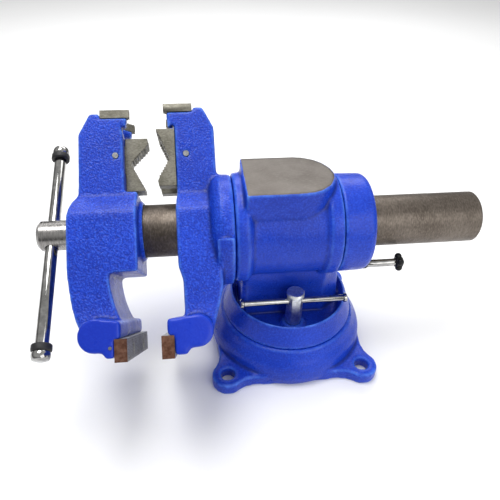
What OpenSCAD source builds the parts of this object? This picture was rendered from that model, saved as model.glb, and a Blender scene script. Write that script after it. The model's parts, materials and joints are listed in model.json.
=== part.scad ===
// Multi-jaw rotating bench vise on a swivel base.
// X runs along the lead screw (front handle at -X), Z is up, and the origin is
// where the swivel axis meets the bench. The jaw head turns about the screw axis.

/* [Vise] */
// Height of the screw axis above the bench
axis_h = 160.5; // [158:0.5:175]
// How far the jaw head is turned back from upright at rest, degrees
head_tilt = 45; // [0:5:360]
// Width of the flat jaws
jaw_w = 152.4; // [130:1:156]

/* [Bar and screw] */
// Diameter of the round slide bar
bar_d = 55; // [50:1:56]
// How far the bar sticks out behind the swivel axis
bar_rear = 201; // [180:1:230]
// Diameter of the lead screw
screw_d = 26; // [22:1:28]
// Thread pitch of the lead screw
screw_pitch = 6; // [5:1:8]
// Overall length of the handle over its knobs
handle_len = 242; // [220:0.2:250]
// Diameter of the handle
handle_d = 12.4; // [10:0.2:13]
// How far the handle is turned back from upright at rest, degrees
handle_tilt = 65; // [0:5:360]
// How far the handle's middle hangs below the screw axis
handle_drop = 9.3; // [0:0.1:20]

/* [Jaws] */
// Width of the upper jaw arms
arm_w = 48; // [46:1:52]
// Width of the jaw hubs around the bar
hub_w = 82; // [76:1:86]
// Height of the flat jaws
flat_h = 20; // [16:1:21]
// Thickness of the flat jaws
flat_t = 11.5; // [10:0.5:12]
// Pitch of the teeth on the pipe jaws
tooth = 3.2; // [2.5:0.1:4]

/* [Housing] */
// Outer radius of the front ring of the housing
ring_r = 57.5; // [56:0.5:60]
// Outer radius of the housing between its rings
barrel_r = 50.5; // [49:0.5:53]
// Radius of the jaw head's journal in the housing
journal_r = 38; // [37:0.5:39]
// Height of the anvil face above the bench
anvil_z = 222; // [219:0.5:226]

/* [Swivel base] */
// Radius of the base flange
flange_r = 90; // [88:1:92]
// Thickness of the base flange and its lugs
flange_t = 15; // [12:0.5:15]
// Diameter of the circle through the bench bolt holes
bolt_pcd = 218; // [212:1:218]
// Diameter of the bench bolt holes
bolt_hole_d = 16; // [11:0.5:17]

/* [Hidden] */
$fn = 64;
run = 0.06;                      // radial clearance of a running fit
loose = 0.5;                     // radial clearance of a loose hole

blue = "royalblue";
steel = "silver";
black = "dimgray";

// Swivel base and lock bolts
base_top = 45;                   // deck that the housing turns on
lug_r = 17.8;
slot_r = 42;                     // middle of the annular T-slot, where the lock bolts stand
slot_neck = 7;                   // half widths of the T-slot
slot_wide = 12.5;
pivot_r = 10;
bowl_floor = 54;
bowl_top = 72;
lock_r = 5.95;
lock_top = 101;
lock_bar_z = 87.5;
lock_bar_r = 3.6;
lock_bar_len = 119;

// Housing and head, along X
ring_front = -65.5;
ring_back = -50;
rear_ring_r = 54.3;
rear_ring_front = 26;
housing_back = 42.5;
seam = 0.5;                      // gap between turning castings
head_face = ring_front - seam;
cap_front = housing_back + seam;
cap_back = 76;
cap_r = 53;
neck_r = 56;
anvil_half = 38.2;
index_r = 46.7;                  // the index pin's distance from the screw axis
index_turn = 7;                  // and its angle from the bottom of the head
index_n = 8;
index_tip_r = 3.5;
index_stem_r = 3;
index_pocket_r = 5.2;
track_depth = 4;

// Jaws: the inner faces of both arms and the flat jaws' seats
mov_face = -173;
sta_face = -121;
mov_seat = -178.5;
sta_seat = -127;
flat_top = -105.5;
lobe_r = 15;
pipe_half = 10;                  // half thickness of the movable pipe jaw
fork_gap = 11;                   // half gap of the forked static pipe jaw
pin_z = 75;
mov_pin_x = -181;
sta_pin_x = -110;

// Lead screw group
bar_front = -200;
bar_bore = 19;
hub_front = -227;
screw_head_r = 15.5;
screw_head_x = -263;
handle_x = -250;
screw_end = 140;
nut_x = [-40, 10];
washer_t = 7;                    // rubber washers of the handle
knob_r = 8.8;
knob_len = 9.1;

// A point at angle a on the circle of radius r around c
function on_circle(c, r, a) = [c[0] + r * cos(a), c[1] + r * sin(a)];
// n + 1 points of an arc from angle a0 to a1
function arc(c, r, a0, a1, n = 8) = [for (i = [0:n]) on_circle(c, r, a0 + (a1 - a0) * i / n)];
// Saw teeth of height h from p to q, cut to the left of that line
function teeth(p, q, h) =
    let (d = q - p, len = norm(d), n = floor(len / tooth), u = d / len, left = [-u[1], u[0]])
    [for (i = [0:n - 1]) each [p + u * (len * i / n), p + u * (len * (i + 0.7) / n) + left * h]];

// Places its children, drawn upright about the screw axis, in the turned head
module head() { translate([0, 0, axis_h]) rotate([-head_tilt, 0, 0]) children(); }
// Cylinder along X from x0 to x1
module rod_x(x0, x1, r) { translate([x0, 0, 0]) rotate([0, 90, 0]) cylinder(h = x1 - x0, r = r); }
// Cylinder along Y, centred on the middle plane
module rod_y(h, r) { rotate([90, 0, 0]) cylinder(h = h, r = r, center = true); }
// Solid of revolution about X, from [x, r] points
module turned_x(pts) {
    rotate([0, 90, 0]) rotate([0, 0, 90]) rotate_extrude() polygon([for (p = pts) [p[1], p[0]]]);
}
// Side outline in X and Z, extruded across the width w
module across(w) { translate([0, w / 2, 0]) rotate([90, 0, 0]) linear_extrude(height = w) children(); }
// Front outline in Y and Z, extruded from x0 to x1
module along(x0, x1) { translate([x0, 0, 0]) rotate([90, 0, 90]) linear_extrude(height = x1 - x0) children(); }
// Box from one corner to the other
module block(lo, hi) { translate(lo) cube(hi - lo); }
// Both sides of the middle plane
module both_sides() { children(); mirror([0, 1, 0]) children(); }

// Places its children along the handle, whose middle is at z = 0
module handle() {
    translate([handle_x, 0, axis_h]) rotate([-handle_tilt, 0, 0]) translate([0, 0, -handle_drop]) children();
}
module both_ends() { children(); mirror([0, 0, 1]) children(); }

// ---- swivel base ----
module lug() {
    difference() {
        union() {
            translate([bolt_pcd / 2, 0, 0]) cylinder(h = flange_t, r = lug_r);
            linear_extrude(height = flange_t)
                polygon([[76, -45], [86, -35], [94, -26], [102, -lug_r - 2.5], [bolt_pcd / 2, -lug_r],
                         [bolt_pcd / 2, lug_r], [102, lug_r + 2.5], [94, 26], [86, 35], [76, 45]]);
        }
        translate([bolt_pcd / 2, 0, -1]) cylinder(h = flange_t + 2, d = bolt_hole_d);
    }
}
module swivel_base() {
    head_r = 21;
    ledge = 16;
    color(blue) difference() {
        union() {
            rotate_extrude() polygon([[0, 0], [flange_r - 2.5, 0], [flange_r - 1, 2], [flange_r + 1, flange_t - 4],
                [flange_r, 23], [flange_r - 2.5, 29], [flange_r - 6, 34], [flange_r - 8.2, 38],
                [flange_r - 10, 42], [flange_r - 11.5, base_top - 0.5], [flange_r - 12.5, base_top],
                [0, base_top]]);
            for (a = [45:90:315]) rotate(a) lug();
        }
        translate([0, 0, -1]) cylinder(h = base_top + 2, r = pivot_r + run);
        translate([0, 0, -1]) cylinder(h = ledge + 1, r = head_r);
        rotate_extrude() polygon([[slot_r - slot_wide, ledge], [slot_r + slot_wide, ledge],
            [slot_r + slot_wide, 28], [slot_r + slot_neck, 28], [slot_r + slot_neck, base_top + 1],
            [slot_r - slot_neck, base_top + 1], [slot_r - slot_neck, 28], [slot_r - slot_wide, 28]]);
        // where the clamp nuts drop into the slot
        translate([-slot_r, 0, ledge]) cylinder(h = base_top, r = slot_wide + 2);
    }
}

// ---- housing with anvil, and what turns with it ----
module pedestal() {
    intersection() {
        across(100) polygon([[-58, 45], [61, 45], [55, 98], [51, 104], [housing_back, 105],
            [housing_back, 150], [-56, 150]]);
        linear_extrude(height = 150)
            polygon([[-60, -17], [-51, -25], [36, -25], [62, -4], [62, 4], [36, 25], [-51, 25], [-60, 17]]);
    }
}
module housing() {
    color(blue) difference() {
        union() {
            rotate_extrude() polygon([[0, base_top + 0.1], [76, base_top + 0.1], [76.3, 47],
                [75.8, 50], [74.2, 54], [71.8, 60], [69.8, 65], [68.7, 69], [68, 71],
                [67, bowl_top], [65.5, bowl_top - 0.5], [63.5, 62], [61, bowl_floor], [0, bowl_floor]]);
            both_sides() translate([0, slot_r, bowl_floor - 1]) cylinder(h = 4, r = 13);
            pedestal();
            translate([0, 0, axis_h]) turned_x([[ring_front, 0], [ring_front, ring_r - 1.5],
                [ring_front + 1.5, ring_r], [ring_back - 3, ring_r], [ring_back, ring_r - 3],
                [ring_back + 2, barrel_r], [rear_ring_front, barrel_r],
                [rear_ring_front + 3, rear_ring_r], [housing_back - 1, rear_ring_r],
                [housing_back, rear_ring_r - 1], [housing_back, 0]]);
            translate([0, 0, axis_h]) {
                cylinder(h = anvil_z - axis_h, r = anvil_half);
                block([-55, -anvil_half, 0], [0, anvil_half, anvil_z - axis_h]);
            }
        }
        translate([0, 0, axis_h]) rod_x(ring_front - 1, housing_back + 1, journal_r + run);
        translate([0, 0, base_top - 1]) cylinder(h = 40, r = pivot_r);
        both_sides() translate([0, slot_r, base_top - 1]) cylinder(h = 20, r = lock_r + loose);
        // index track and holes in the rear face
        head() turned_x([[housing_back - track_depth, index_r - index_tip_r - loose],
            [housing_back - track_depth, index_r + index_tip_r + loose],
            [housing_back + 1, index_r + index_tip_r + loose],
            [housing_back + 1, index_r - index_tip_r - loose]]);
        head() for (i = [0:index_n - 1]) rotate([index_turn + i * 360 / index_n, 0, 0])
            translate([0, 0, -index_r]) rod_x(housing_back - 14, housing_back + 1, index_tip_r + 0.3);
    }
}
module pivot_bolt() {
    color(steel) {
        translate([0, 0, 2]) cylinder(h = 10, r = 16, $fn = 6);
        translate([0, 0, 11]) cylinder(h = 63, r = pivot_r);
    }
}
module pivot_washer() {
    color(steel) difference() {
        translate([0, 0, 12]) cylinder(h = 3.9, r = 19);
        translate([0, 0, 11]) cylinder(h = 6, r = pivot_r);
    }
}
module clamp_nuts() {
    color(steel) both_sides() difference() {
        union() {
            block([-12, slot_r - 10, 17], [12, slot_r + 10, 27.6]);
            block([-8, slot_r - 5.5, 27], [8, slot_r + 5.5, 40]);
        }
        translate([0, slot_r, 16]) cylinder(h = 25, r = lock_r + run);
    }
}
module lock_bolt() {
    color(steel) difference() {
        union() {
            translate([0, 0, 18]) cylinder(h = 40, r = lock_r);
            intersection() {
                translate([0, 0, bowl_floor + 3.1]) cylinder(h = lock_top - bowl_floor - 7, r = 9.3, $fn = 6);
                translate([0, 0, bowl_floor + 3.1]) rotate_extrude()
                    polygon([[0, 0], [7.4, 0], [9.3, 1.5], [9.3, 50], [0, 50]]);
            }
            translate([0, 0, lock_top - 6]) rotate_extrude()
                polygon([[0, 0], [8.6, 0], [9.7, 1], [9.7, 5], [8.7, 5.9], [0, 6]]);
        }
        translate([0, 0, lock_bar_z]) rod_x(-12, 12, lock_bar_r + 0.4);
    }
}
module lock_bar() {
    half = lock_bar_len / 2;
    bead = lock_bar_r + 1.5;
    color(steel) translate([-1, 0, lock_bar_z]) turned_x([[-half, 0], [-half, bead - 1], [-half + 1, bead],
        [-half + 3.5, bead], [-half + 4.5, lock_bar_r], [half - 4.5, lock_bar_r], [half - 3.5, bead],
        [half - 1, bead], [half, bead - 1], [half, 0]]);
}
module lock_bolt_front() { translate([0, -slot_r, 0]) lock_bolt(); }
module lock_bar_front() { translate([0, -slot_r, 0]) lock_bar(); }
module lock_bolt_rear() { translate([0, slot_r, 0]) lock_bolt(); }
module lock_bar_rear() { translate([0, slot_r, 0]) lock_bar(); }

// ---- jaw parts shared by both jaws ----
// Front outline of a jaw: narrow arm, wide hub, and a flare to the flat jaw
module jaw_front() {
    a = arm_w / 2;
    h = hub_w / 2;
    side = [[a, 132], [a, 34.5], [a + 1, 33], [h - 2.5, 18], [h - 0.5, 14], [h, 9],
            [h, -62], [h + 1, -78], [h + 4, -92], [h + 7, -110]];
    polygon(concat(side, [for (i = [len(side) - 1:-1:0]) [-side[i][0], side[i][1]]]));
}
// V notch in a top jaw, from its open edge at x to its root, with teeth if h > 0
module top_notch(x, dir, h) {
    mouth = 18;
    depth = 18;
    polygon(concat([[x + dir * 2, -mouth], [x + dir * 2, mouth]],
        [for (p = teeth([x, mouth * -dir], [x - dir * depth, 0], h)) [p[0], p[1] * -dir]],
        [for (p = teeth([x - dir * depth, 0], [x, mouth * dir], h)) [p[0], p[1] * -dir]]));
}
// Slotted countersunk screw, head up at z = 0
module flat_screw(head_r, r, len) {
    difference() {
        rotate_extrude() polygon([[0, 0], [head_r, 0], [head_r, -1], [r, -head_r + r - 1],
            [r, -len], [0, -len]]);
        block([-head_r - 1, -0.8, -1.6], [head_r + 1, 0.8, 1]);
    }
}
// Hole for such a screw, open for the length above over its head
module flat_sink(head_r, r, len, above = 1) {
    rotate_extrude() polygon([[0, above], [head_r, above], [head_r, -1], [r, -head_r + r - 1],
        [r, -len], [0, -len]]);
}
// Flat jaw with two sunk screw holes, its seat at x = 0 and its face towards dir
module flat_jaw(dir) {
    difference() {
        block([min(0, dir * flat_t), -jaw_w / 2, flat_top - flat_h],
              [max(0, dir * flat_t), jaw_w / 2, flat_top]);
        for (y = [-36, 36]) translate([dir * (flat_t - 3), y, flat_top - flat_h / 2])
            rotate([0, 90 * dir, 0]) flat_sink(6, 3.6, flat_t, 4);
    }
}
module flat_screws(dir) {
    for (y = [-36, 36]) translate([dir * (flat_t - 3), y, flat_top - flat_h / 2]) rotate([0, 90 * dir, 0])
        rotate(90) flat_screw(6, 3.6, 20);
}
module flat_screw_holes(dir) {
    for (y = [-36, 36]) translate([dir, y, flat_top - flat_h / 2]) rotate([0, -90 * dir, 0])
        cylinder(h = 13, r = 3.6);
}

// ---- turning head: static jaw and what is fixed to it ----
module static_side() {
    polygon(concat([[-80, -46], [-80, 40], [-80, 60], [-80, 102.5], [-91, 125], [-101.5, 125], [-101.5, 120],
        [-129, 120], [-127.5, 103], [sta_face + 0.5, 110], [sta_face, 103]],
        [[sta_face, 34], [-122.5, 20], [-122.5, -42], [-118.5, -55], [-118, -100], [-95, -110],
         [-91.5, -104], [-83, -77], [-79.5, -62]]));
}
module static_lobe() {
    translate([-106.5, -103]) circle(r = lobe_r - 0.5);
    polygon([[-133, -91], [-118, -90], [-106.5, -88.5], [-106.5, -117.5], [-113, -117.5],
             [-116, -123], [sta_seat, -123], [sta_seat, flat_top], [-133, flat_top]]);
}
module static_jaw() {
    color(blue) head() difference() {
        union() {
            intersection() {
                across(160) static_side();
                along(-140, -70) jaw_front();
            }
            across(jaw_w) static_lobe();
            turned_x([[-88, 0], [-88, 45], [-85, 52], [-79, neck_r], [head_face - 1, neck_r],
                      [head_face, neck_r - 1], [head_face, 0]]);
            intersection() {
                rod_x(-84, head_face, neck_r + 4);
                block([-90, -80, -80], [head_face - 1, 80, -20]);
            }
            turned_x([[head_face - 1, 0], [head_face - 1, journal_r], [housing_back - 1, journal_r],
                      [housing_back, journal_r - 1], [housing_back, 0]]);
        }
        rod_x(-140, housing_back + 1, bar_d / 2 + run);
        // pocket for the nut key
        block([nut_x[0] + 2, 20, -6], [nut_x[1] - 2, 45, 6]);
        // slot for the pipe jaw's tang, its pin, and room for round work in the nose
        block([sta_face - 1, -pipe_half, 58], [-103, pipe_half, 103]);
        translate([sta_pin_x, 0, pin_z]) rod_y(60, 3);
        translate([0, 0, 103]) linear_extrude(height = 18) top_notch(-131, -1, 0);
        for (y = [-17, 17]) translate([-107, y, 108]) cylinder(h = 15, r = 2.5);
        translate([sta_seat, 0, 0]) flat_screw_holes(-1);
        for (a = [45:90:315]) rotate([a, 0, 0]) translate([0, 0, 33.6])
            rod_x(housing_back - 20, housing_back + 1, 3);
    }
}
module rear_cap() {
    color(blue) head() difference() {
        turned_x([[cap_front, 0], [cap_front, cap_r - 1], [cap_front + 1, cap_r], [cap_back - 5, cap_r - 0.5],
                  [cap_back - 1.5, cap_r - 2.5], [cap_back, cap_r - 4], [cap_back, 0]]);
        rod_x(cap_front - 1, cap_back + 1, bar_d / 2 + loose);
        for (a = [45:90:315]) rotate([a, 0, 0]) translate([0, 0, 33.6]) {
            rod_x(cap_front - 1, cap_back, 3);
            rod_x(cap_back - 8, cap_back + 1, 5);
        }
        rotate([index_turn, 0, 0]) translate([0, 0, -index_r]) {
            rod_x(cap_front - 1, cap_back, index_tip_r + run);
            rod_x(48, cap_back + 1, index_pocket_r);
        }
    }
}
module cap_screws() {
    color(black) head() for (a = [45:90:315]) rotate([a, 0, 0]) translate([0, 0, 33.6]) {
        rod_x(housing_back - 16, cap_back - 7, 3);
        difference() {
            rod_x(cap_back - 8, cap_back - 2, 5);
            translate([cap_back - 5, 0, 0]) rotate([0, 90, 0]) cylinder(h = 4, r = 2.9, $fn = 6);
        }
    }
}
module lead_nut() {
    color("goldenrod") head() difference() {
        rod_x(nut_x[0], nut_x[1], bar_bore - loose);
        rod_x(nut_x[0] - 1, nut_x[1] + 1, screw_d / 2 + run);
        block([nut_x[0] + 2, 16, -6], [nut_x[1] - 2, 20, 6]);
        for (x = [-30, 0]) translate([x, 13.5, 0]) rotate([-90, 0, 0]) cylinder(h = 6, r = 2.5);
    }
}
module nut_key() {
    color(steel) head() difference() {
        block([nut_x[0] + 2, 16, -6], [nut_x[1] - 2, journal_r - 2.5, 6]);
        for (x = [-30, 0]) translate([x, journal_r - 2.5, 0]) rotate([-90, 0, 0]) flat_sink(5, 2.5, 40);
    }
}
module nut_key_screws() {
    color(steel) head() for (x = [-30, 0]) translate([x, journal_r - 2.5, 0]) rotate([-90, 0, 0])
        flat_screw(5, 2.5, 20.5);
}
module static_pipe_side() {
    polygon(concat([[sta_face, 102], [-139.5, 102]], teeth([-139.5, 99], [-127.5, 71], 1.3),
        teeth([-128, 70], [-139.5, 50.5], 1.3), [[-139.5, 47.5], [-138.5, 42], [sta_face, 42]]));
}
module static_pipe_jaw() {
    color("gray") head() difference() {
        union() {
            across(arm_w - 1) static_pipe_side();
            block([sta_face - 1, -pipe_half, 60], [-104, pipe_half, 102]);
        }
        // room for the movable pipe jaw when the vise closes
        block([-145, -fork_gap, 37], [sta_face + 0.5, fork_gap, 98]);
        translate([sta_pin_x, 0, pin_z]) rod_y(60, 3);
    }
}
module static_pipe_pin() {
    color(steel) head() translate([sta_pin_x, 0, pin_z]) rod_y(arm_w + 0.6, 3);
}
module static_top_jaw() {
    color("gray") head() difference() {
        translate([0, 0, 120]) linear_extrude(height = 8.5) difference() {
            translate([-131.5, -arm_w / 2]) square([29.5, arm_w]);
            top_notch(-131.5, -1, 1);
        }
        for (y = [-17, 17]) translate([-107, y, 128.5]) flat_sink(4.5, 2.5, 20);
    }
}
module static_top_screws() {
    color(steel) head() for (y = [-17, 17]) translate([-107, y, 128.5]) flat_screw(4.5, 2.5, 19);
}
module static_flat_jaw() { color("gray") head() translate([sta_seat, 0, 0]) flat_jaw(-1); }
module static_flat_screws() { color(steel) head() translate([sta_seat, 0, 0]) flat_screws(-1); }

// ---- index pin, which holds the head at a set angle ----
module at_index() { head() rotate([index_turn, 0, 0]) translate([0, 0, -index_r]) children(); }
module index_pin() {
    color(steel) at_index() {
        rod_x(housing_back - 3, 50, index_tip_r);
        rod_x(49, 51, index_pocket_r - 0.4);
        rod_x(50, 81, index_stem_r);
        rod_x(cap_back + 3.3, 115.5, 4.2);
    }
}
module index_spring() {
    turns = 7;
    color(black) at_index() translate([51.8, 0, 0]) rotate([0, 90, 0])
        linear_extrude(height = cap_back - 5.8 - 51.8, twist = 360 * turns, slices = turns * 16, $fn = 8)
            translate([4.1, 0]) circle(r = 0.55, $fn = 8);
}
module index_bush() {
    color(black) at_index() difference() {
        turned_x([[cap_back - 5, 0], [cap_back - 5, index_pocket_r], [cap_back + 2, index_pocket_r],
                  [cap_back + 3, index_pocket_r - 1], [cap_back + 3, 0]]);
        rod_x(cap_back - 6, cap_back + 4, index_stem_r + 0.3);
    }
}
module index_knob() {
    color(black) at_index() difference() {
        union() {
            turned_x([[111, 0], [111, 4.5], [112, 6], [118.5, 6], [119.5, 5], [119.5, 0]]);
            for (a = [0:90:270]) rotate([a, 0, 0]) translate([115.3, 0, -6]) sphere(r = 3.9);
        }
        rod_x(110, 115.5, 4.2);
    }
}

// ---- movable jaw and slide bar ----
module movable_side() {
    polygon(concat([[-218.5, 36], [-217.5, 98], [-206, 119.5], [-196, 119.5], [-196, 114.5], [-168.5, 114.5],
        [-170, 106], [mov_face - 3.5, 108], [mov_face, 100], [mov_face, 37.5], [-160.5, 37.5], [-160.5, -44.5]],
        arc([-184, -48.5], 4, 90, 180, 4), arc([-78.2, -41.7], 110, 185, 207, 8),
        [[-176.5, -100], [-180, -104], [-180, -110], [-208, -110], [-215, -97], [-219, -88], [-222.5, -76],
         [-224.5, -64], [-226, -52], [hub_front, -38], [hub_front, -2], [-226.6, 10], [-225.5, 20],
         [-223.9, 27], [-221.3, 31.5]]));
}
module movable_lobe() {
    translate([-195, -102]) circle(r = lobe_r);
    polygon([[-195, -87], [-173, -90.5], [-173, flat_top], [mov_seat, flat_top], [mov_seat, -122],
             [-186, -122], [-189, -117], [-195, -117]]);
}
module movable_jaw() {
    color(blue) head() difference() {
        union() {
            intersection() {
                across(160) movable_side();
                along(-240, -150) jaw_front();
            }
            across(jaw_w) movable_lobe();
            turned_x([[-170, 0], [-170, 31], [-157, 31], [-156, 30], [-156, 0]]);
        }
        rod_x(-212, -150, bar_d / 2);
        rod_x(hub_front - 2, -211, screw_d / 2 + run);
        block([-190, -pipe_half, 58], [mov_face + 1, pipe_half, 90]);
        translate([mov_pin_x, 0, pin_z]) rod_y(60, 3);
        translate([0, 0, 100]) linear_extrude(height = 15) top_notch(-166, 1, 0);
        for (y = [-17, 17]) translate([-190, y, 102]) cylinder(h = 15, r = 2.5);
        translate([mov_seat, 0, 0]) flat_screw_holes(1);
        translate([-182, 0, 0]) rotate([-90, 0, 0]) cylinder(h = 50, r = 4);
        lobe_pin_rods();
    }
}
// Small dowels driven into the ends of the movable jaw's lobe
module lobe_pin_rods() {
    both_sides() translate([-182, 0, -113]) rotate([-90, 0, 0]) translate([0, 0, jaw_w / 2 - 12])
        cylinder(h = 12.4, r = 1.5);
}
module lobe_pins() { color(steel) head() lobe_pin_rods(); }
module slide_bar() {
    color("gray") head() difference() {
        turned_x([[bar_front, bar_bore], [bar_front, bar_d / 2], [bar_rear - 2, bar_d / 2],
                  [bar_rear, bar_d / 2 - 2], [bar_rear, bar_bore + 1], [bar_rear - 1, bar_bore]]);
        block([-74, 10, -7], [136, 40, 7]);
        translate([-182, 0, 0]) rotate([-90, 0, 0]) cylinder(h = 50, r = 4);
    }
}
module bar_pin() {
    color(steel) head() translate([-182, 19.5, 0]) rotate([-90, 0, 0]) cylinder(h = hub_w / 2 - 20, r = 4);
}
module movable_pipe_side() {
    polygon(concat([[mov_face, 40.5], [-154, 40.5], [-154, 43]], teeth([-154, 44], [-167, 69.5], 1.3),
        teeth([-167, 70.5], [-149.5, 88.5], 1.3), [[-149.5, 89.5], [-150, 97], [mov_face, 97]]));
}
module movable_pipe_jaw() {
    color("gray") head() difference() {
        union() {
            across(2 * pipe_half) movable_pipe_side();
            block([-189, -pipe_half, 59], [mov_face + 1, pipe_half, 89]);
        }
        translate([mov_pin_x, 0, pin_z]) rod_y(60, 3);
    }
}
module movable_pipe_pin() {
    color(steel) head() translate([mov_pin_x, 0, pin_z]) rod_y(arm_w + 0.6, 3);
}
module movable_top_jaw() {
    color("gray") head() difference() {
        translate([0, 0, 114.5]) linear_extrude(height = 8.5) difference() {
            translate([-195.5, -arm_w / 2]) square([29.5, arm_w]);
            top_notch(-166, 1, 1);
        }
        for (y = [-17, 17]) translate([-190, y, 123]) flat_sink(4.5, 2.5, 20);
    }
}
module movable_top_screws() {
    color(steel) head() for (y = [-17, 17]) translate([-190, y, 123]) flat_screw(4.5, 2.5, 19);
}
module movable_flat_jaw() { color("gray") head() translate([mov_seat, 0, 0]) flat_jaw(1); }
module movable_flat_screws() { color(steel) head() translate([mov_seat, 0, 0]) flat_screws(1); }

// ---- lead screw and handle ----
module lead_screw() {
    r = screw_d / 2;
    root = r - 1.2;
    turns = floor((screw_end + 190) / screw_pitch);
    color(steel) head() difference() {
        turned_x(concat([[screw_head_x, 0], [screw_head_x, 12.5], [screw_head_x + 3, screw_head_r],
            [-231, screw_head_r], [-231, r]],
            [for (i = [0:turns - 1], k = [0:3]) [-190 + (i + [0.1, 0.25, 0.5, 0.65][k]) * screw_pitch,
                                                 [r, root, root, r][k]]],
            [[screw_end - 1.5, r], [screw_end, r - 1.5], [screw_end, 0]]));
        translate([handle_x, 0, 0]) rotate([head_tilt - handle_tilt, 0, 0])
            cylinder(h = 60, r = handle_d / 2 + 0.4, center = true);
        translate([-207, 0, 0]) rod_y(60, 2.5);
    }
}
module thrust_washer() {
    color(steel) head() difference() {
        rod_x(-231, hub_front - 0.1, 18);
        rod_x(-240, -220, screw_d / 2);
    }
}
module retaining_collar() {
    color(steel) head() difference() {
        rod_x(-211.9, -202, 22);
        rod_x(-220, -200, screw_d / 2);
        translate([-207, 0, 0]) rod_y(60, 2.5);
    }
}
module collar_pin() {
    color(steel) head() translate([-207, 0, 0]) rod_y(43, 2.5);
}
module handle_rod() {
    color(steel) handle() cylinder(h = handle_len - 2 * knob_len + 6, d = handle_d, center = true);
}
module handle_knobs() {
    start = handle_len / 2 - knob_len;
    color(steel) handle() both_ends() translate([0, 0, start]) difference() {
        rotate_extrude() polygon(concat([[0, 0], [knob_r - 0.8, 0]], arc([0, 3.4], knob_r, -18, 30, 6),
            [[knob_r - 2.8, knob_len - 1.2], [knob_r - 4.6, knob_len - 0.2], [knob_r - 6, knob_len],
             [0, knob_len]]));
        translate([0, 0, -1]) cylinder(h = 4, d = handle_d);
    }
}
module handle_washers() {
    start = handle_len / 2 - knob_len - washer_t;
    color(black) handle() both_ends() translate([0, 0, start]) difference() {
        rotate_extrude() polygon([[0, 0], [8.6, 0], [9.5, 1], [9.5, 6], [8.6, washer_t - 0.05],
            [0, washer_t - 0.05]]);
        translate([0, 0, -1]) cylinder(h = 9, d = handle_d);
    }
}

swivel_base();
housing();
pivot_bolt();
pivot_washer();
clamp_nuts();
lock_bolt_front();
lock_bar_front();
lock_bolt_rear();
lock_bar_rear();
static_jaw();
rear_cap();
cap_screws();
lead_nut();
nut_key();
nut_key_screws();
static_pipe_jaw();
static_pipe_pin();
static_top_jaw();
static_top_screws();
static_flat_jaw();
static_flat_screws();
index_pin();
index_spring();
index_bush();
index_knob();
movable_jaw();
slide_bar();
bar_pin();
movable_pipe_jaw();
movable_pipe_pin();
movable_top_jaw();
movable_top_screws();
movable_flat_jaw();
movable_flat_screws();
lobe_pins();
lead_screw();
thrust_washer();
retaining_collar();
collar_pin();
handle_rod();
handle_knobs();
handle_washers();
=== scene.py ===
"""Looks of the rotating-head bench vise: enamelled castings, ground and turned steel, plated handles."""
import json
import math

import bmesh
import bpy
from mathutils import Matrix, Vector


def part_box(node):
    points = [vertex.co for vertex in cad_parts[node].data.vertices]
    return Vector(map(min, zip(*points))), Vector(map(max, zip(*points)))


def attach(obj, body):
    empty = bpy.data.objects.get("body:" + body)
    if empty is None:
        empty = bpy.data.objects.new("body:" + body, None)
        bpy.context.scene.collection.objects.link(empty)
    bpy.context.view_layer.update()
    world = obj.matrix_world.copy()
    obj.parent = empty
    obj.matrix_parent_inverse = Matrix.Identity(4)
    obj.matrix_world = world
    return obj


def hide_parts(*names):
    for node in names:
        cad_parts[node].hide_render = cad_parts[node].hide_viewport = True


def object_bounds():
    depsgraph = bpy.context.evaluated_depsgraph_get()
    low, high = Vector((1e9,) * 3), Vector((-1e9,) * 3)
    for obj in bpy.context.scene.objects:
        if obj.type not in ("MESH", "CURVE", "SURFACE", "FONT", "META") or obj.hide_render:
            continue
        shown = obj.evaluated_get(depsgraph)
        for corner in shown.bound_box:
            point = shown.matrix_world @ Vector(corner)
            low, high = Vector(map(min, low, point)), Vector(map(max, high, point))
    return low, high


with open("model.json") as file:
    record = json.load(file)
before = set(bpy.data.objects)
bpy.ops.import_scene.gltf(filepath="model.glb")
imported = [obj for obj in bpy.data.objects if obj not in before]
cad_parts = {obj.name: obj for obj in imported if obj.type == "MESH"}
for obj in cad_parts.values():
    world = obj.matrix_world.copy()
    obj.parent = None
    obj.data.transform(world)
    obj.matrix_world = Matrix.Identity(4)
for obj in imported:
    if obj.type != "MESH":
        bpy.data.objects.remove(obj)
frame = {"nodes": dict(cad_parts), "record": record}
cad_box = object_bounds()
nodes = frame["nodes"]

MM = 0.001
HEAD_TILT = math.pi / 4  # the head is turned back by this angle
SLANT = math.sqrt(0.5)  # its sine and cosine
SCREW_AXIS = (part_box("slide_bar")[0].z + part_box("slide_bar")[1].z) / 2
JAW_HALF = 0.0762  # half the width of the flat jaws
SCREW_Y = 0.036  # from the middle plane to a flat jaw's screws
# voxel size in mm for each casting, and how many smoothing steps round its edges
CASTINGS = {"swivel_base": 1.4, "housing": 1.4, "static_jaw": 1.5, "movable_jaw": 1.3, "rear_cap": 1.2}
ROUNDING_STEPS = 16
# nodes whose edges stay as they are
PLAIN_EDGES = ("index_spring", "lead_nut", "lead_screw")
# serrations of a flat jaw, in mm
TOOTH_PITCH, TOOTH_DEPTH, RIM_DEPTH = 1.5, 0.8, 0.4
# recesses for its screws, in metres
RECESS_RADIUS, RECESS_DEPTH, RECESS_CONE, RECESS_INSET = 0.006, 0.003, 0.0024, 0.0031
CAMERA_PLACE = (-0.10005, -0.42254, 0.46134)
CAMERA_TURN = (38, 7.3, 1.5)  # pitch, yaw and roll in degrees
CAMERA_LENS = 35.13

# ---------------------------------------------------------------- node helpers


def new_material(name):
    """A material with its node tree, its Principled shader and its object coordinates."""
    mat = bpy.data.materials.new(name)
    mat.use_nodes = True
    tree = mat.node_tree
    shader = tree.nodes["Principled BSDF"]
    place = tree.nodes.new("ShaderNodeTexCoord").outputs["Object"]
    return mat, tree, shader, place


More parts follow.
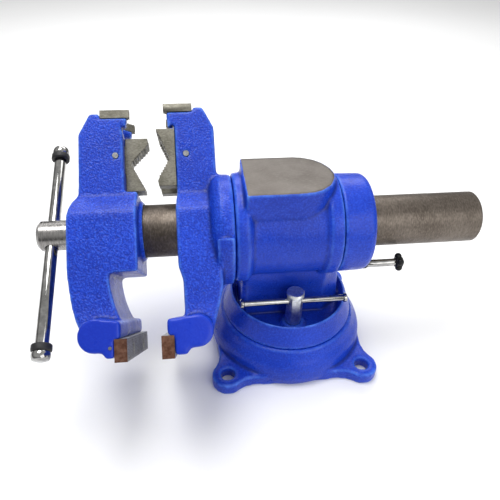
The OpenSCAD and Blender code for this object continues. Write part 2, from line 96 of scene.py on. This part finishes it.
def noise(tree, place, scale, detail=3.0, stretch=None, rough=0.55):
    """Noise in metres, stretched along an axis when stretch gives a scale for each."""
    if stretch:
        mapping = tree.nodes.new("ShaderNodeMapping")
        mapping.inputs["Scale"].default_value = stretch
        tree.links.new(place, mapping.inputs["Vector"])
        place = mapping.outputs["Vector"]
    node = tree.nodes.new("ShaderNodeTexNoise")
    node.inputs["Scale"].default_value = scale
    node.inputs["Detail"].default_value = detail
    node.inputs["Roughness"].default_value = rough
    tree.links.new(place, node.inputs["Vector"])
    return node.outputs["Fac"]


def ramp(tree, value, low, high, a=0.0, b=1.0):
    """value mapped from low..high to a..b, clamped."""
    node = tree.nodes.new("ShaderNodeMapRange")
    for key, number in zip(("From Min", "From Max", "To Min", "To Max"), (low, high, a, b)):
        node.inputs[key].default_value = number
    tree.links.new(value, node.inputs["Value"])
    return node.outputs["Result"]


def math_node(tree, kind, a, b):
    """Result of one arithmetic node; a and b may be sockets or numbers."""
    node = tree.nodes.new("ShaderNodeMath")
    node.operation = kind
    for socket, v in zip(node.inputs, (a, b)):
        if isinstance(v, (int, float)):
            socket.default_value = v
        else:
            tree.links.new(v, socket)
    return node.outputs[0]


def mix_colour(tree, factor, a, b):
    """Colour a where factor is 0 and b where it is 1; either may be a fixed colour."""
    node = tree.nodes.new("ShaderNodeMix")
    node.data_type = "RGBA"
    tree.links.new(factor, node.inputs[0])
    for socket, v in zip((node.inputs[6], node.inputs[7]), (a, b)):
        if isinstance(v, tuple):
            socket.default_value = (*v, 1.0)
        else:
            tree.links.new(v, socket)
    return node.outputs[2]


def mix_value(tree, factor, a, b):
    """Value a where factor is 0 and b where it is 1; either may be a fixed number."""
    node = tree.nodes.new("ShaderNodeMix")
    node.data_type = "FLOAT"
    for socket, v in zip((node.inputs[0], node.inputs[2], node.inputs[3]), (factor, a, b)):
        if isinstance(v, (int, float)):
            socket.default_value = v
        else:
            tree.links.new(v, socket)
    return node.outputs[0]


def bump(tree, shader, *layers):
    """Chains (height, distance in metres, strength) layers into the shader's normal."""
    normal = None
    for height, distance, strength in layers:
        node = tree.nodes.new("ShaderNodeBump")
        node.inputs["Distance"].default_value = distance
        node.inputs["Strength"].default_value = strength
        tree.links.new(height, node.inputs["Height"])
        if normal:
            tree.links.new(normal, node.inputs["Normal"])
        normal = node.outputs["Normal"]
    tree.links.new(normal, shader.inputs["Normal"])


def edges(tree, low, high):
    """1 on convex edges from the geometry's pointiness, on concave hollows when low > high; feeds painted edge
    highlights and painted shade in creases and tooth valleys.
    """
    point = tree.nodes.new("ShaderNodeNewGeometry").outputs["Pointiness"]
    return ramp(tree, point, low, high)


# ---------------------------------------------------------------- materials


def enamel(name, hammered, bare=None, coarse=None):
    """Blue enamel over a sand casting, hammered 0..1; bare(tree, place) masks machined bare metal
    and coarse(tree, place) the areas that show the hammered grain in full."""
    mat, tree, shader, place = new_material(name)
    broad = ramp(tree, noise(tree, place, 14, 3), 0.35, 0.65)
    colour = mix_colour(tree, broad, (0.006, 0.036, 0.42), (0.009, 0.052, 0.55))
    pebble = noise(tree, place, 560, 2, rough=0.45)
    high = ramp(tree, pebble, 0.52, 0.74, 0, 0.15 + 0.35 * hammered)
    colour = mix_colour(tree, high, colour, (0.05, 0.17, 0.90))
    low = ramp(tree, pebble, 0.50, 0.30, 0, 0.3 + 0.3 * hammered)
    colour = mix_colour(tree, low, colour, (0.003, 0.016, 0.20))
    convex = edges(tree, 0.508, 0.545)
    # painted highlight: convex edges lightened to a paler blue, patchy with noise
    edge_highlight = math_node(tree, "MULTIPLY", convex, ramp(tree, noise(tree, place, 110, 3), 0.35, 0.6, 0.25))
    colour = mix_colour(tree, math_node(tree, "MULTIPLY", edge_highlight, 0.8), colour, (0.10, 0.27, 0.88))
    # painted shade: concave creases and joints darkened towards a deep blue
    crease_shade = edges(tree, 0.494, 0.478)
    colour = mix_colour(tree, math_node(tree, "MULTIPLY", crease_shade, 0.6), colour, (0.003, 0.010, 0.10))
    rough = ramp(tree, noise(tree, place, 60, 2), 0.3, 0.7, 0.26, 0.40)
    wave = noise(tree, place, 70, 3)
    if coarse:
        mask = coarse(tree, place)
        smooth = mix_colour(tree, broad, (0.003, 0.026, 0.42), (0.005, 0.032, 0.48))
        colour = mix_colour(tree, mask, smooth, colour)
        pebble = math_node(tree, "MULTIPLY", pebble, mask)
    if bare:
        mask = bare(tree, place)
        painted = math_node(tree, "SUBTRACT", 1.0, mask)
        grain = noise(tree, place, 260, 3, (1, 6, 1))
        ground = mix_colour(tree, ramp(tree, noise(tree, place, 30, 4), 0.35, 0.65),
                            (0.078, 0.066, 0.057), (0.118, 0.104, 0.092))
        ground = mix_colour(tree, ramp(tree, grain, 0.5, 0.72, 0, 0.6), ground, (0.19, 0.175, 0.16))
        colour = mix_colour(tree, mask, colour, ground)
        rough = mix_value(tree, mask, rough, ramp(tree, grain, 0.3, 0.7, 0.32, 0.5))
        tree.links.new(math_node(tree, "MULTIPLY", mask, 0.9), shader.inputs["Metallic"])
        pebble = math_node(tree, "MULTIPLY", pebble, painted)
        wave = math_node(tree, "MULTIPLY", wave, painted)
    tree.links.new(colour, shader.inputs["Base Color"])
    tree.links.new(rough, shader.inputs["Roughness"])
    shader.inputs["Specular IOR Level"].default_value = 0.25
    shader.inputs["Coat Weight"].default_value = 0.08
    shader.inputs["Coat Roughness"].default_value = 0.12
    bump(tree, shader, (wave, 0.0012, 0.45), (pebble, 0.0008, 0.25 + 0.7 * hammered))
    return mat


def metal(name, dark, light, rough=(0.25, 0.4), stretch=(1, 1, 1), scale=40, grain=400, depth=0.00003,
          rusty=None, teeth=False):
    """Bare metal whose colour and roughness vary between two limits, with a fine machined grain."""
    mat, tree, shader, place = new_material(name)
    blot = ramp(tree, noise(tree, place, scale, 4), 0.32, 0.68)
    colour = mix_colour(tree, blot, dark, light)
    lines = noise(tree, place, grain, 2, stretch)
    colour = mix_colour(tree, ramp(tree, lines, 0.5, 0.75, 0, 0.45), colour, tuple(c * 1.5 for c in light))
    colour = mix_colour(tree, ramp(tree, lines, 0.5, 0.25, 0, 0.45), colour, tuple(c * 0.5 for c in dark))
    if teeth:
        # painted shade: the valleys between the teeth darkened so the serrations show
        valley_shade = edges(tree, 0.51, 0.44)
        colour = mix_colour(tree, valley_shade, colour, tuple(c * 0.22 for c in dark))
    if rusty:
        patches = ramp(tree, noise(tree, place, 260, 4), 0.35, 0.65)
        rust = mix_colour(tree, patches, (0.10, 0.045, 0.03), (0.22, 0.115, 0.08))
        colour = mix_colour(tree, rusty(tree, place), colour, rust)
    tree.links.new(colour, shader.inputs["Base Color"])
    shader.inputs["Metallic"].default_value = 1.0
    sheen = ramp(tree, noise(tree, place, scale * 2.3, 3, stretch), 0.3, 0.7, *rough)
    tree.links.new(sheen, shader.inputs["Roughness"])
    bump(tree, shader, (lines, depth, 0.7))
    return mat


def plain(name, colour, rough, metallic=0.0, lighter=1.6):
    """Dark rubber or blacking: two close tones, fine grain."""
    mat, tree, shader, place = new_material(name)
    blot = ramp(tree, noise(tree, place, 90, 4), 0.35, 0.65)
    two_tone = mix_colour(tree, blot, colour, tuple(c * lighter for c in colour))
    tree.links.new(two_tone, shader.inputs["Base Color"])
    shader.inputs["Metallic"].default_value = metallic
    sheen = ramp(tree, noise(tree, place, 220, 2), 0.3, 0.7, rough * 0.8, rough * 1.2)
    tree.links.new(sheen, shader.inputs["Roughness"])
    bump(tree, shader, (noise(tree, place, 900, 2), 0.0001, 0.5))
    return mat


def above_anvil(tree, place):
    """1 on the ground face of the anvil, just at the top of the housing."""
    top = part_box("housing")[1].z
    split = tree.nodes.new("ShaderNodeSeparateXYZ")
    tree.links.new(place, split.inputs[0])
    wobble = noise(tree, place, 90, 3)
    height = math_node(tree, "ADD", split.outputs["Z"], math_node(tree, "MULTIPLY", wobble, 0.0006))
    return ramp(tree, height, top - 0.0004, top - 0.0001)


def across_head(tree, place):
    """Distance from the middle plane of the head, which is turned back by 45 degrees."""
    split = tree.nodes.new("ShaderNodeSeparateXYZ")
    tree.links.new(place, split.inputs[0])
    slant = math_node(tree, "SUBTRACT", split.outputs["Y"], split.outputs["Z"])
    slant = math_node(tree, "MULTIPLY", math_node(tree, "ADD", slant, SCREW_AXIS), SLANT)
    return math_node(tree, "ABSOLUTE", slant, 0.0)


def between_lobes(tree, place):
    """1 on a jaw between the end faces of its lobe, near 0 on those smooth faces."""
    return ramp(tree, across_head(tree, place), JAW_HALF - 0.006, JAW_HALF - 0.003, 1.0, 0.12)


def jaw_ends(tree, place):
    """1 on the rusty end faces of the flat jaws."""
    return ramp(tree, across_head(tree, place), JAW_HALF - 0.0004, JAW_HALF - 0.0001)


LOOKS = {
    "cast_body": enamel("blue_enamel", 0.25),
    "bar_steel": metal("turned_bar", (0.10, 0.082, 0.067), (0.19, 0.162, 0.138), (0.40, 0.54),
                       (2.5, 1, 1), 22, 300),
    "screw_steel": metal("screw_steel", (0.20, 0.19, 0.185), (0.34, 0.33, 0.32), (0.2, 0.32),
                         (6, 1, 1), 30, 160),
    "jaw_steel": metal("jaw_steel", (0.12, 0.114, 0.092), (0.215, 0.205, 0.172), (0.40, 0.55), (1, 1, 3), 60),
    "plated": metal("bright_plate", (0.30, 0.298, 0.29), (0.42, 0.415, 0.405), (0.05, 0.12),
                    (1, 1, 1), 25, 150, 0.00001),
    "fastener": metal("dark_steel", (0.18, 0.18, 0.18), (0.30, 0.30, 0.31), (0.3, 0.45)),
    "black_steel": plain("blacking", (0.012, 0.012, 0.013), 0.35, 0.6),
    "nut_bronze": metal("bronze", (0.42, 0.28, 0.12), (0.60, 0.42, 0.20), (0.3, 0.45)),
    "rubber": plain("rubber", (0.010, 0.010, 0.011), 0.55),
}
NODE_LOOKS = {
    "housing": enamel("blue_enamel_ground_anvil", 0.25, bare=above_anvil),
    "movable_jaw": enamel("blue_enamel_hammered", 1.0, coarse=between_lobes),
    "static_jaw": enamel("blue_enamel_hammered_b", 0.85, coarse=between_lobes),
    "lock_bolt_front": metal("zinc_plate", (0.62, 0.64, 0.63), (0.80, 0.82, 0.81), (0.28, 0.4),
                             scale=60, grain=300),
    "flat_jaws": metal("serrated_jaw", (0.34, 0.335, 0.31), (0.52, 0.51, 0.48), (0.42, 0.55), (1, 1, 3), 80,
                       rusty=jaw_ends, teeth=True),
}
NODE_LOOKS["lock_bolt_rear"] = NODE_LOOKS["lock_bolt_front"]

# ---------------------------------------------------------------- CAD nodes

def dress_casting(o, voxel_mm):
    """Rounds every edge of a casting as sand moulding does."""
    remesh = o.modifiers.new("cast", "REMESH")
    remesh.mode = "VOXEL"
    remesh.voxel_size = voxel_mm * MM
    remesh.use_smooth_shade = True
    smooth = o.modifiers.new("round", "SMOOTH")
    smooth.factor = 0.5
    smooth.iterations = ROUNDING_STEPS


def dress_machined(o, width_mm=0.4):
    """Breaks the sharp edges of a machined piece."""
    weld = o.modifiers.new("weld", "WELD")
    weld.merge_threshold = 0.01 * MM
    bevel = o.modifiers.new("broken_edges", "BEVEL")
    bevel.width = width_mm * MM
    bevel.segments = 2
    bevel.limit_method = "ANGLE"
    bevel.angle_limit = math.radians(35)
    bevel.use_clamp_overlap = True


for part in frame["record"]["subparts"]:
    o = nodes[part["node"]]
    o.data.materials.clear()
    o.data.materials.append(NODE_LOOKS.get(part["node"]) or LOOKS[part["material_slot"]])
    if part["node"] in CASTINGS:
        dress_casting(o, CASTINGS[part["node"]])
    elif part["node"] not in PLAIN_EDGES:
        dress_machined(o)

# ---------------------------------------------------------------- serrated flat jaws


def head_frame():
    """From the head's own axes, X along the screw and Z up the arms, to the row frame."""
    return Matrix.Translation((0, 0, SCREW_AXIS)) @ Matrix.Rotation(-HEAD_TILT, 4, "X")


def cutter(radius, depth, cone):
    """Mesh of a screw recess: a round hole with a cone at its bottom, opening towards +X."""
    bm = bmesh.new()
    steps = 40
    rings = ((depth + MM, radius), (0.0, radius), (-cone, radius - cone))
    angles = [2 * math.pi * i / steps for i in range(steps)]
    rows = [[bm.verts.new((d, r * math.cos(a), r * math.sin(a))) for a in angles] for d, r in rings]
    for a, b in zip(rows, rows[1:]):
        for i in range(steps):
            j = (i + 1) % steps
            bm.faces.new((a[i], a[j], b[j], b[i]))
    bm.faces.new(rows[0][::-1])
    bm.faces.new(rows[-1])
    bmesh.ops.recalc_face_normals(bm, faces=bm.faces)
    return bm


def node_points(node):
    o = nodes[node]
    return [o.matrix_world @ v.co for v in o.data.vertices]


def mesh_object(name, bm):
    mesh = bpy.data.meshes.new(name)
    bm.to_mesh(mesh)
    bm.free()
    o = bpy.data.objects.new(name, mesh)
    bpy.context.scene.collection.objects.link(o)
    return o


def flat_jaw(node, facing):
    """Jaw insert whose gripping face, towards facing along X, is cut into small diamond pyramids."""
    inverse = head_frame().inverted()
    local = [inverse @ Vector(p) for p in node_points(node)]
    lo = Vector(min(p[i] for p in local) for i in range(3))
    hi = Vector(max(p[i] for p in local) for i in range(3))
    pitch, tooth, rim = TOOTH_PITCH * MM, TOOTH_DEPTH * MM, RIM_DEPTH * MM
    face = hi.x if facing > 0 else lo.x
    back = lo.x if facing > 0 else hi.x
    ny = round((hi.y - lo.y) / pitch / 2) * 2
    nz = round((hi.z - lo.z) / pitch / 2) * 2
    bm = bmesh.new()
    grid = []
    for i in range(ny + 1):
        y = lo.y + (hi.y - lo.y) * i / ny
        column = []
        for j in range(nz + 1):
            z = lo.z + (hi.z - lo.z) * j / nz
            outside = i in (0, ny) or j in (0, nz)
            depth = rim if outside else tooth * ((i + j) % 2 == 0)
            column.append(bm.verts.new((face - facing * depth, y, z)))
        grid.append(column)
    for i in range(ny):
        for j in range(nz):
            a, b, c, d = grid[i][j], grid[i + 1][j], grid[i + 1][j + 1], grid[i][j + 1]
            if (i + j) % 2:
                bm.faces.new((a, b, d))
                bm.faces.new((b, c, d))
            else:
                bm.faces.new((a, b, c))
                bm.faces.new((a, c, d))
    corner = {}
    for i in (0, ny):
        for j in (0, nz):
            v = grid[i][j]
            corner[i, j] = bm.verts.new((back, v.co.y, v.co.z))
    bm.faces.new([corner[k] for k in ((0, 0), (0, nz), (ny, nz), (ny, 0))])
    bm.faces.new([grid[i][0] for i in range(ny, -1, -1)] + [corner[0, 0], corner[ny, 0]])
    bm.faces.new([grid[i][nz] for i in range(ny + 1)] + [corner[ny, nz], corner[0, nz]])
    bm.faces.new([grid[0][j] for j in range(nz + 1)] + [corner[0, nz], corner[0, 0]])
    bm.faces.new([grid[ny][j] for j in range(nz, -1, -1)] + [corner[ny, 0], corner[ny, nz]])
    bmesh.ops.recalc_face_normals(bm, faces=bm.faces)
    block = mesh_object(node + "_serrated", bm)
    middle = (lo.z + hi.z) / 2
    for y in (-SCREW_Y, SCREW_Y):
        hole = cutter(RECESS_RADIUS, RECESS_DEPTH, RECESS_CONE)
        turn = Matrix.Identity(4) if facing > 0 else Matrix.Rotation(math.pi, 4, "Z")
        place = Matrix.Translation((face - facing * RECESS_INSET, y, middle))
        bmesh.ops.transform(hole, matrix=place @ turn, verts=hole.verts)
        tool = mesh_object("tool", hole)
        cut = block.modifiers.new("recess", "BOOLEAN")
        cut.operation = "DIFFERENCE"
        cut.solver = "EXACT"
        cut.object = tool
        done = bpy.data.meshes.new_from_object(block.evaluated_get(bpy.context.evaluated_depsgraph_get()))
        block.modifiers.clear()
        block.data = done
        bpy.data.objects.remove(tool)
    block.data.transform(head_frame())
    block.data.materials.clear()
    block.data.materials.append(NODE_LOOKS["flat_jaws"])
    return block


for node, facing, body in (("movable_flat_jaw", 1, "jaw"), ("static_flat_jaw", -1, "head")):
    piece = flat_jaw(node, facing)
    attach(piece, body)
    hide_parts(node)

# ---------------------------------------------------------------- floor, light, camera


def floor():
    bpy.ops.mesh.primitive_plane_add(size=12, location=(0, 0, cad_box[0].z))
    o = bpy.context.object
    o.name = "floor"
    mat, tree, shader, place = new_material("pale_floor")
    blot = ramp(tree, noise(tree, place, 2, 2), 0.3, 0.7)
    pale = mix_colour(tree, blot, (0.92, 0.92, 0.92), (0.95, 0.95, 0.95))
    tree.links.new(pale, shader.inputs["Base Color"])
    shader.inputs["Roughness"].default_value = 0.5
    o.data.materials.append(mat)


def lamp(name, place, target, size, power):
    data = bpy.data.lights.new(name, "AREA")
    data.shape = "RECTANGLE"
    data.size, data.size_y = size
    data.energy = power
    o = bpy.data.objects.new(name, data)
    bpy.context.scene.collection.objects.link(o)
    o.location = place
    o.rotation_euler = (Vector(target) - Vector(place)).to_track_quat("-Z", "Y").to_euler()


def camera(place, pitch, yaw, roll, lens):
    """A level camera turned by yaw about Z, pitched down, then rolled."""
    data = bpy.data.cameras.new("camera")
    data.lens = lens
    data.sensor_width = 36.0
    p, y, r = (math.radians(a) for a in (pitch, yaw, roll))
    forward = Vector((math.sin(y) * math.cos(p), math.cos(y) * math.cos(p), -math.sin(p)))
    right = Vector((math.cos(y), -math.sin(y), 0))
    up = right.cross(forward)
    right, up = right * math.cos(r) + up * math.sin(r), up * math.cos(r) - right * math.sin(r)
    o = bpy.data.objects.new("camera", data)
    bpy.context.scene.collection.objects.link(o)
    turn = Matrix((right, up, -forward)).transposed()
    o.matrix_world = Matrix.Translation(Vector(place)) @ turn.to_4x4()
    bpy.context.scene.camera = o


floor()
centre = (cad_box[0] + cad_box[1]) / 2
lamp("key", (-0.35, 0.15, 1.75), centre, (1.0, 0.8), 19)
lamp("fill", (0.7, -1.2, 0.8), centre, (1.2, 1.2), 9)
lamp("back", (0.1, 1.3, 1.2), (0.1, 0.5, 0.0), (1.6, 0.8), 13)
world = bpy.data.worlds.new("studio")
bpy.context.scene.world = world
world.use_nodes = True
sky = world.node_tree
split = sky.nodes.new("ShaderNodeSeparateXYZ")
sky.links.new(sky.nodes.new("ShaderNodeTexCoord").outputs["Generated"], split.inputs[0])
sky.nodes["Background"].inputs["Color"].default_value = (1, 1, 1, 1)
sky.links.new(ramp(sky, split.outputs["Z"], 0.12, 0.6, 0.12, 0.62), sky.nodes["Background"].inputs["Strength"])
camera(CAMERA_PLACE, *CAMERA_TURN, CAMERA_LENS)
bpy.context.scene.view_settings.view_transform = "Standard"
